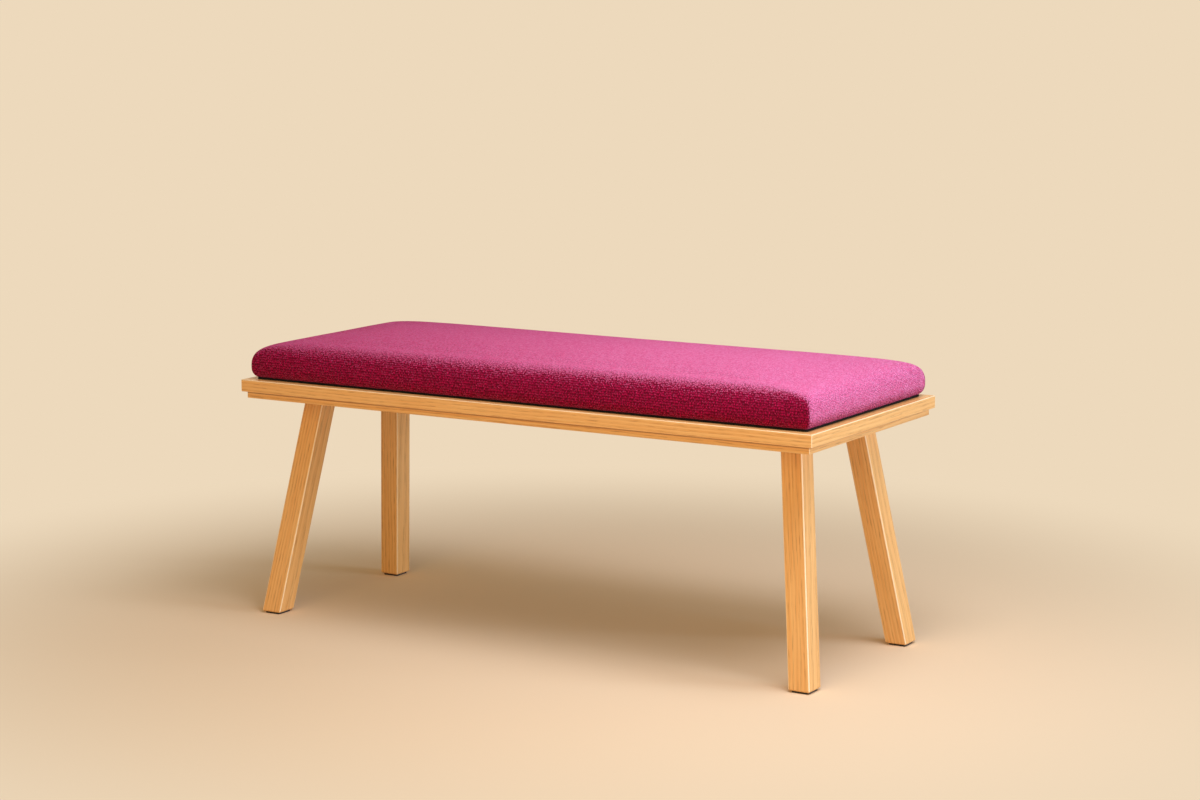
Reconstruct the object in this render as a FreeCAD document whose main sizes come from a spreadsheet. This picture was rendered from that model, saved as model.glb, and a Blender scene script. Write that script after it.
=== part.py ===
import FreeCAD, Part
import math
import os
import re
from FreeCAD import Placement, Rotation, Vector
import Sketcher

# Hall bench: an upholstered seat on a stepped wooden frame with four splayed legs.
# X runs along the bench, -Y is its front, Z is up. The origin is on the floor, under the centre.
# All sizes are in millimetres and all angles in degrees.

SIZES = {
    # Overall
    "bench_length": 1050,          # over the upper rails
    "bench_depth": 434,            # over the upper rails
    "ledge_height": 398,           # floor to the top of the upper rails
    # Frame of two layers of mitred rails
    "rail_width": 60,
    "upper_thick": 20,
    "lower_thick": 11,
    "step_inset": 7,               # the lower rails stand in from the upper ones
    "rail_edge_radius": 1.2,       # of the rails' outer edges
    "spline_length": 40,           # along the mitre
    "spline_reach": 26,            # across the mitre
    "spline_thick": 4,
    # Cross pieces between the front and back rails
    "bearer_width": 80,
    "centre_rail_width": 60,
    "dowel_diameter": 8,
    "dowel_length": 40,
    "dowel_edge": 16,              # from the edge of a cross piece to its dowel
    # Legs
    "leg_width": 36,
    "leg_thick": 38,
    "leg_edge_radius": 2,
    "end_splay": 8,                # outwards along the bench
    "side_splay": 10,              # outwards to the front or back
    "leg_from_end": 22,            # leg centre to the end rail, under the bearer
    "leg_from_side": 52,           # leg centre to the front or back rail, under the bearer
    "foot_chamfer": 2.5,
    "tenon_diameter": 22,
    "wedge_head": 3,
    "wedge_tip": 0.8,
    "wedge_depth": 20,
    "pad_thick": 3,
    "pad_inset": 3.5,              # a foot pad stands in from the leg's faces
    "pad_corner": 3,
    # Countersunk screws that hold the lower rails under the upper ones
    "frame_screw_diameter": 4,
    "frame_screw_head": 8,
    "frame_screw_length": 26,
    "frame_screw_end": 120,        # end of the bench to the outermost screws of its long rails
    "end_screw_side": 142,         # front or back of the bench to the screws of its end rails
    "frame_recess_length": 4.8,    # slots of the cross recess
    "frame_recess_width": 0.9,
    "frame_recess_depth": 1.4,
    # Bolts that hold the seat down, with their washers and tee nuts
    "bolt_diameter": 6,
    "bolt_head": 12,
    "bolt_head_height": 3.6,
    "bolt_length": 35,
    "bolt_head_round": 2.2,
    "bolt_socket": 4,              # across the flats
    "bolt_socket_depth": 2.2,
    "bolt_spread": 50,             # from the centre line to a bolt
    "bolt_hole": 7,
    "counterbore": 21,
    "washer_diameter": 18,
    "washer_thick": 1.6,
    "tee_flange": 19,
    "tee_flange_thick": 1.5,
    "tee_barrel": 8,
    "tee_length": 9,
    "thread_gap": 0.1,
    # Seat
    "seat_margin": 11,             # edge of the ledge to the cushion's widest line
    "seat_height": 72,             # ledge to the crown
    "cover_thick": 1.2,
    "cover_turn_in": 32,           # cover folded under the board
    "dust_cover_thick": 3,
    "dust_cover_inset": 1,         # in from the cover's foot
    "board_thick": 12,
    "wadding_thick": 8,
    "wadding_foot": 4,             # underside of the board to the wadding's lower edge
    "layer_gap": 0.3,
    "foot_run": 6,                 # the cover rounds in from the widest line to its foot
    "widest_height": 17,
    "shoulder_run": 55,            # rounding from the widest line to the top, level part
    "shoulder_rise": 44.5,         # and its upright part
    "shoulder_fullness": 3.4,      # 2 rounds it as an ellipse, more is boxier
    "corner_radius": 6,
    "corner_growth": 0.85,         # corner radius gained for each millimetre drawn in
    # Staples under the board
    "staple_width": 10,
    "staple_wire": 0.7,
    "staple_leg": 7,
    "staple_pitch": 70,
    "cover_staple_edge": 21,
    "dust_staple_edge": 11,
}

doc = FreeCAD.newDocument("hall_bench")
sheet = doc.addObject("Spreadsheet::Sheet", "sizes")
for row, (alias, value) in enumerate(SIZES.items(), start=1):
    sheet.set(f"A{row}", alias)
    sheet.set(f"B{row}", str(value))
    sheet.setAlias(f"B{row}", alias)
doc.recompute()

pieces = []


def on_sheet(text):
    """Point each size named in an expression at its cell."""
    return re.sub(r"[a-z_]+", lambda word: "sizes." + word[0] if word[0] in SIZES else word[0], text)


def size(text):
    """The value of an expression in the sheet's sizes, for the code that needs a number."""
    return float(sheet.evalExpression(on_sheet(text)))


def bind(item, **expressions):
    for name, text in expressions.items():
        item.setExpression(name, on_sheet(text))
    return item


def place(item, x="0", y="0", z="0", turn="0; 0; 0", inner="0; 0; 0", inner_turn="0; 0; 0"):
    """Place an item at x, y, z, turned by yaw; pitch; roll, after a move in its own axes."""
    outer = f"placement(vector({x}; {y}; {z}); rotation({turn}))"
    own = f"placement(vector({inner}); rotation({inner_turn}))"
    item.setExpression("Placement", on_sheet(f"{outer} * {own}"))
    return item


def box(name, length, width, height, x="0", y="0", z="0", turn="0; 0; 0"):
    """A box centred on x and y that stands on z."""
    item = bind(doc.addObject("Part::Box", name), Length=length, Width=width, Height=height)
    return place(item, x, y, z, turn, f"-({length}) / 2; -({width}) / 2; 0")


def cylinder(name, diameter, height, x="0", y="0", z="0", turn="0; 0; 0", start="0"):
    item = bind(doc.addObject("Part::Cylinder", name), Radius=f"({diameter}) / 2", Height=height)
    return place(item, x, y, z, turn, f"0; 0; {start}")


def combine(kind, name, shapes):
    item = doc.addObject(kind, name)
    setattr(item, "Links" if kind == "Part::Compound" else "Shapes", shapes)
    return item


def fuse(name, shapes):
    return combine("Part::MultiFuse", name, shapes)


def common(name, shapes):
    return combine("Part::MultiCommon", name, shapes)


def compound(name, shapes):
    return combine("Part::Compound", name, shapes)


def cut(name, base, tool):
    item = doc.addObject("Part::Cut", name)
    item.Base = base
    item.Tool = tool
    return item


def soften(kind, name, base, radius, chosen):
    """Round or chamfer the edges of base for which chosen(edge) is true."""
    base.recompute(True)
    item = doc.addObject(kind, name)
    item.Base = base
    amount = size(radius)
    item.Edges = [(number, amount, amount)
                  for number, edge in enumerate(base.Shape.Edges, start=1) if chosen(edge)]
    return item


def piece(item, label):
    """Keep an item as one of the bench's pieces, under the name of its file."""
    item.Label = label
    pieces.append(item)
    return item


# Heights and places that several pieces share
UNDERSIDE = "(ledge_height - upper_thick - lower_thick)"
HALF_LENGTH = "(bench_length / 2)"
HALF_DEPTH = "(bench_depth / 2)"
INNER_LENGTH = "(bench_length - 2 * rail_width)"
INNER_DEPTH = "(bench_depth - 2 * rail_width)"
DOWEL_HEIGHT = "(ledge_height - upper_thick / 2)"
BEARER_X = f"({INNER_LENGTH} / 2 - bearer_width / 2)"
BEARER_THICK = "(upper_thick + lower_thick)"
LEG_X = f"({INNER_LENGTH} / 2 - leg_from_end)"
LEG_Y = f"({INNER_DEPTH} / 2 - leg_from_side)"
ENDS = {"left": -1, "right": 1}
SIDES = {"front": -1, "back": 1}
CORNERS = [(f"{side}_{end}", ENDS[end], SIDES[side]) for side in SIDES for end in ENDS]
# Cross pieces between the long rails: name, place along X and width
CROSS_PIECES = [
    ("bearer_left", f"-{BEARER_X}", "bearer_width"),
    ("centre_rail", "0", "centre_rail_width"),
    ("bearer_right", BEARER_X, "bearer_width"),
]


# Countersunk wood screws, driven up through the lower rails into the upper ones.
LOWER_WIDTH = "(rail_width - step_inset)"
LONG_LINE = f"({HALF_DEPTH} - step_inset - {LOWER_WIDTH} / 2)"
END_LINE = f"({HALF_LENGTH} - step_inset - {LOWER_WIDTH} / 2)"


def countersunk_screw(name, x, y):
    """Shank and conical head without the recess, point up, head flush with the underside."""
    shank = cylinder(f"{name}_shank", "frame_screw_diameter", "frame_screw_length", x, y, UNDERSIDE)
    head = doc.addObject("Part::Cone", f"{name}_head")
    bind(head, Radius1="frame_screw_head / 2", Radius2="frame_screw_diameter / 2",
         Height="(frame_screw_head - frame_screw_diameter) / 2")
    place(head, x, y, UNDERSIDE)
    return fuse(name, [shank, head])


def cross_recess(name, x, y):
    """Two crossed slots, sunk into the head of a screw."""
    along, across = "frame_recess_length", "frame_recess_width"
    slots = [box(f"{name}_slot_{number}", *arms, "frame_recess_depth", x, y, UNDERSIDE)
             for number, arms in enumerate(((along, across), (across, along)))]
    return fuse(name, slots)


screw_places = [(f"{step} / 3 * ({HALF_LENGTH} - frame_screw_end)", f"{side} * {LONG_LINE}")
                for side in SIDES.values() for step in (-3, -1, 1, 3)]
screw_places += [(f"{end} * {END_LINE}", f"{side} * ({HALF_DEPTH} - end_screw_side)")
                 for end in ENDS.values() for side in SIDES.values()]
screw_blanks = []
frame_screws = []
for number, (x, y) in enumerate(screw_places, start=1):
    blank = countersunk_screw(f"screw_blank_{number}", x, y)
    screw_blanks.append(blank)
    frame_screws.append(cut(f"frame_screw_{number}", blank, cross_recess(f"recess_{number}", x, y)))
screw_holes = compound("screw_holes", screw_blanks)
piece(compound("frame_screws", frame_screws), "frame_screws")


# Dowels that join the cross pieces to the front and back rails.
dowels = []
for name, x, width in CROSS_PIECES:
    for side_name, side in SIDES.items():
        for pair in (-1, 1):
            dowels.append(cylinder(
                f"{name}_dowel_{side_name}_{len(dowels)}", "dowel_diameter", "dowel_length",
                f"{x} + {pair} * ({width} / 2 - dowel_edge)", f"{side} * {INNER_DEPTH} / 2",
                DOWEL_HEIGHT, "0; 0; 90", "-dowel_length / 2"))
dowels = piece(compound("dowels", dowels), "bearer_dowels")


# Plywood splines, one across each mitre of the upper frame.
splines = [box(f"spline_{name}", "spline_length", "spline_reach", "spline_thick",
               f"{end} * ({HALF_LENGTH} - rail_width / 2)", f"{side} * ({HALF_DEPTH} - rail_width / 2)",
               "ledge_height - upper_thick / 2 - spline_thick / 2", f"{45 * end * side}; 0; 0")
           for name, end, side in CORNERS]
splines = piece(compound("splines", splines), "mitre_splines")


# Bolts, washers and tee nuts, which clamp the seat board down on the cross pieces.
BOLT_SEAT = "(ledge_height - upper_thick)"
BOLT_TOP = f"({BOLT_SEAT} - washer_thick)"
BOARD_BOTTOM = "(ledge_height + dust_cover_thick + cover_thick)"
BOARD_TOP = f"({BOARD_BOTTOM} + board_thick)"
bolt_places = [(f"{cross}_{side_name}", x, f"{side} * bolt_spread")
               for cross, x, width in CROSS_PIECES for side_name, side in SIDES.items()]


def pan_head_bolt(name, x, y):
    """Machine screw with a rounded pan head and a hexagon socket."""
    shank = cylinder(f"{name}_shank", "bolt_diameter", "bolt_length", x, y, BOLT_TOP)
    head = cylinder(f"{name}_head", "bolt_head", "bolt_head_height",
                    x, y, f"{BOLT_TOP} - bolt_head_height")
    rounded = soften("Part::Fillet", f"{name}_rounded", head, "bolt_head_round",
                     lambda edge: edge.Closed and edge.BoundBox.ZMax < head.Shape.BoundBox.Center.z)
    socket = bind(doc.addObject("Part::Prism", f"{name}_socket"),
                  Circumradius="bolt_socket / sqrt(3)", Height="bolt_socket_depth")
    place(socket, x, y, f"{BOLT_TOP} - bolt_head_height")
    return cut(name, fuse(f"{name}_blank", [shank, rounded]), socket)


def washer(name, x, y):
    z = f"{BOLT_SEAT} - washer_thick"
    disc = cylinder(f"{name}_disc", "washer_diameter", "washer_thick", x, y, z)
    hole = cylinder(f"{name}_hole", "bolt_diameter + 4 * thread_gap", "washer_thick", x, y, z)
    return cut(name, disc, hole)


def tee_nut_blank(name, x, y):
    """Flange, flush with the top of the board, and barrel, before its bore."""
    flange = cylinder(f"{name}_flange", "tee_flange", "tee_flange_thick",
                      x, y, f"{BOARD_TOP} - tee_flange_thick")
    barrel = cylinder(f"{name}_barrel", "tee_barrel", "tee_length", x, y, f"{BOARD_TOP} - tee_length")
    return fuse(name, [flange, barrel])


bolts = []
washers = []
tee_blanks = []
tee_nuts = []
for name, x, y in bolt_places:
    bolts.append(pan_head_bolt(f"bolt_{name}", x, y))
    washers.append(washer(f"washer_{name}", x, y))
    tee_blanks.append(tee_nut_blank(f"tee_blank_{name}", x, y))
    bore = cylinder(f"tee_bore_{name}", "bolt_diameter + 2 * thread_gap", "tee_length",
                    x, y, f"{BOARD_TOP} - tee_length")
    tee_nuts.append(cut(f"tee_nut_{name}", tee_blanks[-1], bore))
piece(compound("bolts", bolts), "seat_bolts")
piece(compound("washers", washers), "seat_washers")
piece(compound("tee_nuts", tee_nuts), "tee_nuts")
bolt_holes = compound("bolt_holes", [
    cylinder(f"bolt_hole_{name}", "bolt_hole", f"{BOARD_TOP} - {BOLT_SEAT}", x, y, BOLT_SEAT)
    for name, x, y in bolt_places])
counterbores = compound("counterbores", [
    cylinder(f"counterbore_{name}", "counterbore", "lower_thick", x, y, UNDERSIDE)
    for name, x, y in bolt_places])


# Upper and lower rails: each layer is four mitred boards, the lower one stepped in.
def layer_block(name, inset, thick, z):
    """The outside of one layer, with every outer edge eased."""
    block = box(f"{name}_block", f"bench_length - 2 * {inset}", f"bench_depth - 2 * {inset}", thick, z=z)
    return soften("Part::Fillet", f"{name}_outside", block, "rail_edge_radius", lambda edge: True)


def mitred_rail(name, along, inset, width, thick, z, yaw):
    """A board that narrows at 45 degrees from its outer edge inwards, before it is eased."""
    rail = doc.addObject("Part::Wedge", name)
    half = f"({along} / 2 - {inset})"
    across = "bench_depth" if along == "bench_length" else "bench_length"
    bind(rail, Xmin=f"-{half}", Xmax=half, X2min=f"-({half} - {width})", X2max=f"{half} - {width}",
         Ymin="0", Ymax=width, Zmin="0", Zmax=thick, Z2min="0", Z2max=thick)
    return place(rail, turn=f"{yaw}; 0; 0", z=z, inner=f"0; {inset} - {across} / 2; 0")


LAYERS = {
    "upper": ("0", "rail_width", "upper_thick", BOLT_SEAT),
    "lower": ("step_inset", LOWER_WIDTH, "lower_thick", UNDERSIDE),
}
RAILS = [("front", "bench_length", 0), ("right", "bench_depth", 90),
         ("back", "bench_length", 180), ("left", "bench_depth", 270)]
fixings = {
    "upper": compound("upper_fixings", [screw_holes, dowels, splines]),
    "lower": screw_holes,
}
for layer, (inset, width, thick, z) in LAYERS.items():
    outside = layer_block(layer, inset, thick, z)
    for place_name, along, yaw in RAILS:
        name = f"{layer}_rail_{place_name}"
        board = mitred_rail(f"{name}_board", along, inset, width, thick, z, yaw)
        eased = common(f"{name}_eased", [board, outside])
        piece(cut(name, eased, fixings[layer]), name)


# Legs: square stock set at a compound splay, with a round tenon that goes up through the
# bearer and is spread there by a wedge. The shoulder and the foot are cut level.
def leg_axis(end, side):
    """Where a leg's centre line meets the underside of its bearer, and its turn."""
    return {"x": f"{end} * {LEG_X}", "y": f"{side} * {LEG_Y}", "z": UNDERSIDE,
            "turn": f"0; {-end} * end_splay; {side} * side_splay"}


def level_slab(name, low, high):
    return box(name, "2 * bench_length", "2 * bench_depth", f"{high} - {low}", z=low)


below_shoulder = level_slab("below_shoulder", "pad_thick", UNDERSIDE)
above_shoulder = level_slab("above_shoulder", UNDERSIDE, "ledge_height")
foot_line = size("pad_thick + foot_chamfer / 2")
half_leg = size(f"{UNDERSIDE} / 2")
tenon_bars = []
wedges = []
for name, end, side in CORNERS:
    axis = leg_axis(end, side)
    # The stock starts longer than the leg at both ends, and so does the bar of the tenon.
    stock = bind(doc.addObject("Part::Box", f"stock_{name}"),
                 Length="leg_width", Width="leg_thick", Height=f"2 * {UNDERSIDE}")
    place(stock, **axis, inner=f"-leg_width / 2; -leg_thick / 2; -1.5 * {UNDERSIDE}")
    level = common(f"level_{name}", [stock, below_shoulder])
    chamfered = soften("Part::Chamfer", f"chamfered_{name}", level, "foot_chamfer",
                       lambda edge: edge.BoundBox.ZMax < foot_line)
    rounded = soften("Part::Fillet", f"rounded_{name}", chamfered, "leg_edge_radius",
                     lambda edge: edge.BoundBox.ZLength > half_leg)
    bar = cylinder(f"tenon_bar_{name}", "tenon_diameter", f"3 * {BEARER_THICK}",
                   **axis, start=f"-{BEARER_THICK}")
    # The taper is as thick as wedge_head where it passes the top of the bearer.
    taper = doc.addObject("Part::Wedge", f"taper_{name}")
    bind(taper, Xmin="-tenon_diameter", Xmax="tenon_diameter",
         X2min="-tenon_diameter", X2max="tenon_diameter",
         Ymin=f"{BEARER_THICK} - wedge_depth", Ymax=f"{BEARER_THICK} + wedge_depth",
         Zmin="-wedge_tip / 2", Zmax="wedge_tip / 2",
         Z2min="wedge_tip / 2 - wedge_head", Z2max="wedge_head - wedge_tip / 2")
    place(taper, **axis, inner_turn="0; 0; 90")
    tenon = common(f"tenon_{name}", [bar, above_shoulder])
    piece(cut(f"leg_{name}", fuse(f"leg_blank_{name}", [rounded, tenon]), taper), f"leg_{name}")
    wedges.append(common(f"wedge_{name}", [taper, bar, above_shoulder]))
    tenon_bars.append(bar)
piece(compound("wedges", wedges), "leg_wedges")


# Cross pieces: two bearers as deep as both layers of rails, which carry the legs, and a
# thinner rail in the middle. The seat's bolts pass through all three.
cross_holes = compound("cross_holes", tenon_bars + [dowels, bolt_holes, counterbores])
for name, x, width in CROSS_PIECES:
    low = BOLT_SEAT if name == "centre_rail" else UNDERSIDE
    blank = box(f"{name}_blank", width, INNER_DEPTH, f"ledge_height - {low}", x=x, z=low)
    piece(cut(name, blank, cross_holes), name if name == "centre_rail" else f"leg_{name}")


# Sheets with rounded corners: the foot pads, the seat board and the dust cover.
def rounded_rectangle(sketch, half_length, half_depth, radius):
    """Draw four lines and four corner arcs about the origin, with the sizes bound."""
    a, b, r = (size(text) for text in (half_length, half_depth, radius))
    up = Vector(0, 0, 1)
    arcs = [Part.ArcOfCircle(Part.Circle(Vector(sx * (a - r), sy * (b - r), 0), up, r),
                             math.radians(start), math.radians(start + 90))
            for sx, sy, start in ((1, 1, 0), (-1, 1, 90), (-1, -1, 180), (1, -1, 270))]
    for arc, after in zip(arcs, arcs[1:] + arcs[:1]):
        sketch.addGeometry(arc)
        sketch.addGeometry(Part.LineSegment(arc.EndPoint, after.StartPoint))
    for number in range(0, 8, 2):
        sketch.addConstraint(Sketcher.Constraint("Tangent", number, 2, number + 1, 1))
        sketch.addConstraint(Sketcher.Constraint("Tangent", number + 1, 2, (number + 2) % 8, 1))
    for number in (2, 4, 6):
        sketch.addConstraint(Sketcher.Constraint("Equal", 0, number))
    sketch.addConstraint(Sketcher.Constraint("Horizontal", 1))
    sketch.addConstraint(Sketcher.Constraint("Vertical", 3))
    sketch.addConstraint(Sketcher.Constraint("Symmetric", 0, 3, 4, 3, -1, 1))
    sizes = {"half_length": (("DistanceX", -1, 1, 7, 1, a), half_length),
             "half_depth": (("DistanceY", -1, 1, 1, 1, b), half_depth),
             "radius": (("Radius", 0, r), radius)}
    for name, (terms, text) in sizes.items():
        sketch.renameConstraint(sketch.addConstraint(Sketcher.Constraint(*terms)), name)
        bind(sketch, **{f"Constraints.{name}": text})
    return sketch


def rounded_sheet(name, half_length, half_depth, radius, thick, x="0", y="0", z="0"):
    body = doc.addObject("PartDesign::Body", name)
    sketch = body.newObject("Sketcher::SketchObject", f"{name}_outline")
    floor_plane = [plane for plane in body.Origin.OriginFeatures if plane.Role == "XY_Plane"][0]
    sketch.AttachmentSupport = [(floor_plane, "")]
    sketch.MapMode = "FlatFace"
    rounded_rectangle(sketch, half_length, half_depth, radius)
    pad = body.newObject("PartDesign::Pad", f"{name}_pad")
    pad.Profile = sketch
    bind(pad, Length=thick)
    return place(body, x, y, z)


for name, end, side in CORNERS:
    drop = f"({UNDERSIDE} - pad_thick)"
    pad = rounded_sheet(f"pad_{name}", "leg_width / 2 - pad_inset", "leg_thick / 2 - pad_inset",
                        "pad_corner", "pad_thick",
                        f"{end} * ({LEG_X} + {drop} * tan(end_splay))",
                        f"{side} * ({LEG_Y} + {drop} * tan(side_splay) / cos(end_splay))")
    piece(pad, f"foot_pad_{name}")


# Staples: flat wire, driven up through the cloth into the board, crown along the board's edge.
FOOT_HALF_LENGTH = f"({HALF_LENGTH} - seat_margin - foot_run)"
FOOT_HALF_DEPTH = f"({HALF_DEPTH} - seat_margin - foot_run)"
BOARD_HALF_LENGTH = f"({FOOT_HALF_LENGTH} - cover_thick - layer_gap)"
BOARD_HALF_DEPTH = f"({FOOT_HALF_DEPTH} - cover_thick - layer_gap)"


def staples(name, edge, z):
    """A row of staples along each edge of the board, their crowns standing on z."""
    width, wire, leg, pitch = (size(text) for text in
                               ("staple_width", "staple_wire", "staple_leg", "staple_pitch"))
    crown = Part.makeBox(width, wire, wire, Vector(-width / 2, -wire / 2, 0))
    legs = [Part.makeBox(wire, wire, leg, Vector(x, -wire / 2, 0)) for x in (-width / 2, width / 2 - wire)]
    staple = crown.fuse(legs).removeSplitter()
    rows = [(size(f"{BOARD_HALF_LENGTH}"), size(f"{BOARD_HALF_DEPTH} - {edge}"), 0),
            (size(f"{BOARD_HALF_DEPTH}"), size(f"{BOARD_HALF_LENGTH} - {edge}"), 90)]
    shapes = []
    for half, line, yaw in rows:
        count = int(2 * (half - 2 * size(edge)) / pitch)
        for side in (-1, 1):
            for number in range(count + 1):
                copy = staple.copy()
                copy.Placement = (Placement(Vector(0, 0, size(z)), Rotation(yaw, 0, 0))
                                  * Placement(Vector((number - count / 2) * pitch, side * line, 0),
                                              Rotation()))
                shapes.append(copy)
    item = doc.addObject("Part::Feature", name)
    item.Shape = Part.makeCompound(shapes)
    return item


COVER_BOTTOM = "(ledge_height + dust_cover_thick)"
cover_staples = piece(staples("cover_staples", "cover_staple_edge", COVER_BOTTOM), "cover_staples")
dust_staples = piece(staples("dust_staples", "dust_staple_edge", "ledge_height"), "dust_cover_staples")
board_blank = rounded_sheet("board_blank", BOARD_HALF_LENGTH, BOARD_HALF_DEPTH,
                            "corner_radius", "board_thick", z=BOARD_BOTTOM)
board_holes = compound("board_holes", tee_blanks + [bolt_holes, cover_staples, dust_staples])
piece(cut("seat_board", board_blank, board_holes), "seat_board")
dust_blank = rounded_sheet("dust_blank", f"{FOOT_HALF_LENGTH} - dust_cover_inset",
                           f"{FOOT_HALF_DEPTH} - dust_cover_inset",
                           "corner_radius", "dust_cover_thick", z="ledge_height")
dust_holes = compound("dust_holes", [bolt_holes, dust_staples])
piece(cut("dust_cover", dust_blank, dust_holes), "dust_cover")


# Cushion: foam, wadding and woven cover, each a pillow of the same form, drawn in by its
# depth below the surface. Its sides swell above the foot, turn over a rounded shoulder and
# rise in a low crown.
WIDEST = "(ledge_height + widest_height)"
CROWN_RISE = "(seat_height - widest_height - shoulder_rise)"
WIDEST_HALF_LENGTH = f"({HALF_LENGTH} - seat_margin)"
WIDEST_HALF_DEPTH = f"({HALF_DEPTH} - seat_margin)"
CROWN_RUN = f"({WIDEST_HALF_DEPTH} - shoulder_run)"
FOOT_ANGLES = (90, 60, 30)
SHOULDER_ANGLES = (0, 8, 22, 38, 54, 68, 80, 90)
CROWN_SHARES = (0.25, 0.5, 0.75, 0.9)


def pillow_levels(depth):
    """Each level of a pillow, foot to crown: how far it is drawn in, its corner and its height."""
    foot_rise = f"(widest_height - dust_cover_thick - {depth})"
    squeeze = f"(1 - {depth} / (seat_height - widest_height))"
    levels = [(f"foot_run * (1 - cos({angle}))", "corner_radius",
               f"{WIDEST} - {foot_rise} * sin({angle})") for angle in FOOT_ANGLES]
    rising = [(f"shoulder_run * (1 - cos({angle}) ^ (2 / shoulder_fullness))",
               f"shoulder_rise * sin({angle}) ^ (2 / shoulder_fullness)") for angle in SHOULDER_ANGLES]
    rising += [(f"shoulder_run + {share} * {CROWN_RUN}",
                f"shoulder_rise + {CROWN_RISE} * (1 - (1 - {share}) ^ 2)") for share in CROWN_SHARES]
    levels += [(inset, f"corner_radius + corner_growth * ({inset})", f"{WIDEST} + ({rise}) * {squeeze}")
               for inset, rise in rising]
    return levels


def pillow(name, depth):
    """The solid whose surface lies depth below the outside of the cushion."""
    sections = []
    for number, (inset, corner, z) in enumerate(pillow_levels(depth)):
        sketch = doc.addObject("Sketcher::SketchObject", f"{name}_level_{number}")
        half_depth = f"({WIDEST_HALF_DEPTH} - ({inset}) - {depth})"
        radius = f"min({corner} - {depth} / 2; 0.9 * {half_depth})"
        rounded_rectangle(sketch, f"{WIDEST_HALF_LENGTH} - ({inset}) - {depth}", half_depth, radius)
        sections.append(place(sketch, z=z))
    loft = doc.addObject("Part::Loft", name)
    loft.Sections = sections
    loft.Solid = True
    loft.Ruled = True
    return loft


wadding_depth = "(cover_thick + layer_gap)"
wadding_bottom = f"({wadding_depth} + wadding_thick)"
foam_depth = f"({wadding_bottom} + layer_gap)"
turn_in = box("turn_in_opening", f"2 * ({BOARD_HALF_LENGTH} - cover_turn_in)",
              f"2 * ({BOARD_HALF_DEPTH} - cover_turn_in)", "cover_thick", z=COVER_BOTTOM)
cover_hollow = compound("cover_hollow", [pillow("cover_inside", "cover_thick"), turn_in,
                                         cover_staples, dust_staples])
piece(cut("seat_cover", pillow("cover_outside", "0"), cover_hollow), "seat_cover")
above_board = level_slab("above_board", BOARD_TOP, "(ledge_height + seat_height)")
foam = common("foam", [pillow("foam_outside", foam_depth), above_board])
piece(foam, "seat_foam")
wadding_zone = level_slab("wadding_zone", f"({BOARD_BOTTOM} + wadding_foot)",
                          "(ledge_height + seat_height)")
wadding_blank = common("wadding_blank", [pillow("wadding_outside", wadding_depth), wadding_zone])
wadding_core = common("wadding_core", [pillow("wadding_inside", wadding_bottom), above_board])
piece(cut("wadding", wadding_blank, fuse("under_wadding", [wadding_core, board_blank])), "seat_wadding")


# Check every object, then write one file for each piece.
doc.recompute()
for item in doc.Objects:
    if "Invalid" in item.State or "Error" in item.State:
        raise RuntimeError(f"{item.Name} failed: {item.State}")
os.makedirs("parts", exist_ok=True)
for item in pieces:
    if item.Shape.isNull() or not item.Shape.isValid() or not item.Shape.Solids:
        raise RuntimeError(f"{item.Label} has no valid solid")
for item in pieces:
    item.Shape.exportStep(f"parts/{item.Label}.step")
    print(item.Label, len(item.Shape.Solids), "solids,", round(item.Shape.Volume / 1000, 1), "cm3")
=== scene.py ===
"""Looks of the hall bench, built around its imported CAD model. Metres; the front faces -Y."""
import math

import bmesh
import bpy
from mathutils import Matrix, Vector


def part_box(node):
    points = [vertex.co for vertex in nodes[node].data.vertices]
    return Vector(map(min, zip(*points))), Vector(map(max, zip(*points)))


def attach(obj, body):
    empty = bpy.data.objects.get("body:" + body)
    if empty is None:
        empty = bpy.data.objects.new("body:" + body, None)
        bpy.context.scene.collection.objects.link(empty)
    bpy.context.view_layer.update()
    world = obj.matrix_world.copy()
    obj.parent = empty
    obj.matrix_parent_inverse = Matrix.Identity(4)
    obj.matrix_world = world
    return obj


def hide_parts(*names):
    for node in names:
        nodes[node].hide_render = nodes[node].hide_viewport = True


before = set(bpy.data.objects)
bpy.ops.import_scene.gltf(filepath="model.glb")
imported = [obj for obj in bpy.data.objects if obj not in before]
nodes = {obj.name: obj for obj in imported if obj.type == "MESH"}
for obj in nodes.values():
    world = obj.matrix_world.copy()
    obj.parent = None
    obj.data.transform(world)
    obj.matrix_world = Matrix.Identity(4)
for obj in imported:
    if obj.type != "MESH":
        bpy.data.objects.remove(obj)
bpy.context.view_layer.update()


# Camera, where the photographer stood: in front and to the right, a little above the seat.
# Solved from the bench's own edges, it looks down 9 degrees through a short telephoto lens.
camera_data = bpy.data.cameras.new("camera")
camera_data.lens = 81.96
camera_data.sensor_width = 36
camera = bpy.data.objects.new("camera", camera_data)
camera.location = (2.2811, -3.7223, 1.0693)
camera.rotation_euler = (math.radians(90 - 9.01), 0, math.radians(31.11))
bpy.context.scene.collection.objects.link(camera)
bpy.context.scene.camera = camera
bpy.context.scene.view_settings.view_transform = "Standard"


# Studio: a wide pale floor that fades into a pale backdrop. A window light stands far to the
# right, a soft lamp hangs over the right end, and a warm one fills in from the front.
BACKDROP_COLOUR = "#EDD9BC"
FLOOR_COLOUR = "#F1DDBE"
AMBIENT_COLOUR, AMBIENT = "#FFE2BC", 0.3
FLOOR_REACH = 60
FADE_FROM, FADE_TO = 0.5, 1.5  # distances from the bench over which the floor fades


def srgb(code):
    """Linear RGBA of an sRGB hex colour."""
    channels = [int(code[i:i + 2], 16) / 255 for i in (1, 3, 5)]
    return (*[c / 12.92 if c <= 0.04045 else ((c + 0.055) / 1.055) ** 2.4 for c in channels], 1)


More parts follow.
